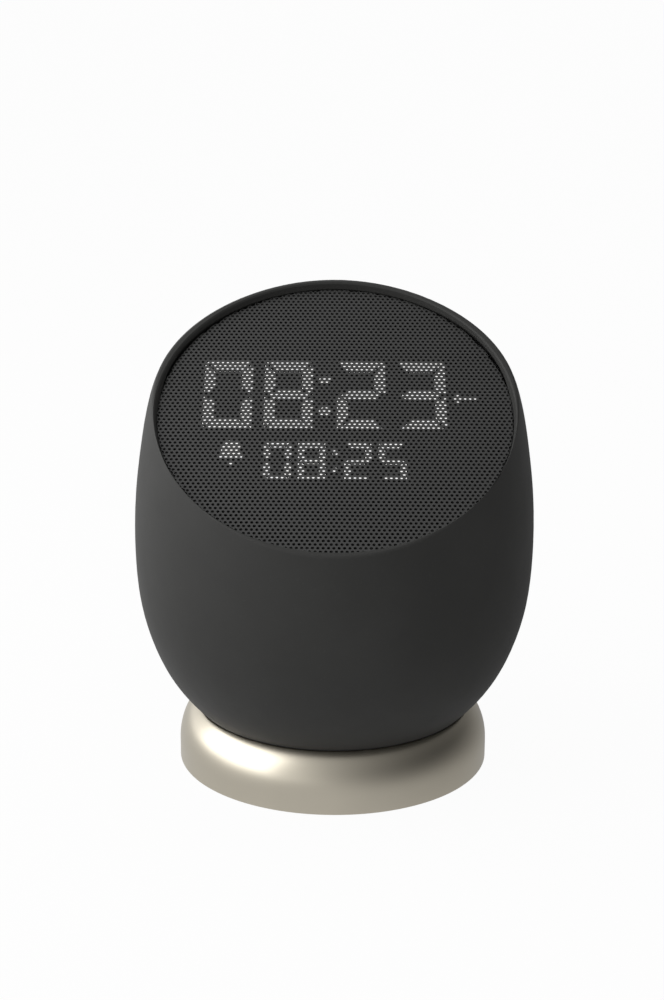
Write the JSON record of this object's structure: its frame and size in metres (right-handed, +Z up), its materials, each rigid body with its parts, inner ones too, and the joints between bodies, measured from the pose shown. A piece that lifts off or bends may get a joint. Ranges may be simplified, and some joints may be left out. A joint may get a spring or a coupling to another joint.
{
  "type": "bedside clock with loudspeaker",
  "caption": "Egg-shaped bedside clock with a slanted perforated loudspeaker grille, lit digits behind it, keys and a charge socket at the back, and a swivelling metal base.",
  "frame": {"origin": "centre of the base's underside on the floor", "axes": "+Z up along the swivel's axis, the display faces -Y, +X to the right seen from the front"},
  "size_m": [0.114, 0.1135, 0.1354],
  "materials": {
    "soft_touch": "soft-touch matte charcoal",
    "lit_segment": "white translucent light guide, lit",
    "grille_metal": "dark matte paint on perforated sheet",
    "cloth": "fine black acoustic cloth",
    "black_plastic": "moulded black plastic",
    "screw_steel": "black-zinc steel screws",
    "led_chip": "white light-emitting chips",
    "circuit_board": "green solder mask on glass-fibre board",
    "foam": "closed-cell foam",
    "basket_steel": "black painted pressed steel",
    "black_rubber": "soft rubber",
    "paper": "black pressed paper",
    "copper": "enamelled copper winding",
    "spider_cloth": "resin-stiffened corrugated cloth",
    "zinc_steel": "zinc-plated steel",
    "ferrite": "grey-black ferrite",
    "panel_plastic": "fine-textured black plastic",
    "key_plastic": "matte dark keys",
    "switch_steel": "stamped steel switch body",
    "socket_steel": "nickel-plated socket shell",
    "hub_brass": "turned brass",
    "glide_plastic": "slippery white plastic",
    "satin_nickel": "satin warm nickel",
    "base_black": "black powder coat",
    "foot_rubber": "grippy silicone",
    "cell_wrap": "blue shrink wrap on cells",
    "chip_black": "black moulded packages",
    "plug_white": "cream nylon sockets",
    "ribbon_film": "flat ribbon film",
    "lead_wire": "insulated stranded wire"
  },
  "bodies": {
    "base": {"base_ring": "satin_nickel", "base_plate": "base_black", "base_weight": "zinc_steel", "foot_ring": "foot_rubber", "base_screws": "screw_steel", "glide_ring": "glide_plastic"},
    "clock": {"outer_shell": "soft_touch", "speaker_grille": "grille_metal", "dust_cloth": "cloth", "front_frame": "black_plastic", "frame_screws": "screw_steel", "led_reflector": "black_plastic", "time_segments": "lit_segment", "alarm_segments": "lit_segment", "display_icons": "lit_segment", "display_leds": "led_chip", "display_board": "circuit_board", "display_screws": "screw_steel", "driver_gasket": "foam", "driver_basket": "basket_steel", "driver_surround": "black_rubber", "driver_cone": "paper", "voice_coil": "copper", "dust_cap": "paper", "driver_spider": "spider_cloth", "front_plate": "zinc_steel", "driver_magnet": "ferrite", "driver_yoke": "zinc_steel", "driver_screws": "screw_steel", "rear_panel": "panel_plastic", "key_board": "circuit_board", "key_switches": "switch_steel", "usb_socket": "socket_steel", "panel_screws": "screw_steel", "key_board_screws": "screw_steel", "bottom_cap": "black_plastic", "cap_screws": "screw_steel", "swivel_hub": "hub_brass", "pivot_washer": "zinc_steel", "pivot_screw": "screw_steel", "battery_cells": "cell_wrap", "battery_cradle": "black_plastic", "battery_contacts": "zinc_steel", "board_tray": "black_plastic", "long_screws": "screw_steel", "main_board": "circuit_board", "board_screws": "screw_steel", "board_chips": "chip_black", "board_plugs": "plug_white", "display_ribbon": "ribbon_film", "key_ribbon": "ribbon_film", "driver_leads": "lead_wire", "battery_leads": "lead_wire"},
    "alarm_key": {"alarm_key": "key_plastic"},
    "volume_up_key": {"volume_up_key": "key_plastic"},
    "volume_down_key": {"volume_down_key": "key_plastic"},
    "voice_key": {"voice_key": "key_plastic"}
  },
  "joints": [
    {"name": "body_swivel", "type": "hinge", "parent": "base", "child": "clock", "pos_m": [0, 0, 0.0094], "axis": [0, 0, 1], "continuous": true},
    {"name": "alarm_key_press", "type": "slide", "parent": "clock", "child": "alarm_key", "axis": [0, -1, 0], "range_m": [0, 0.0005], "stiffness_N_per_m": 400},
    {"name": "volume_up_key_press", "type": "slide", "parent": "clock", "child": "volume_up_key", "axis": [0, -1, 0], "range_m": [0, 0.0005], "stiffness_N_per_m": 400},
    {"name": "volume_down_key_press", "type": "slide", "parent": "clock", "child": "volume_down_key", "axis": [0, -1, 0], "range_m": [0, 0.0005], "stiffness_N_per_m": 400},
    {"name": "voice_key_press", "type": "slide", "parent": "clock", "child": "voice_key", "axis": [0, -1, 0], "range_m": [0, 0.0005], "stiffness_N_per_m": 400}
  ]
}
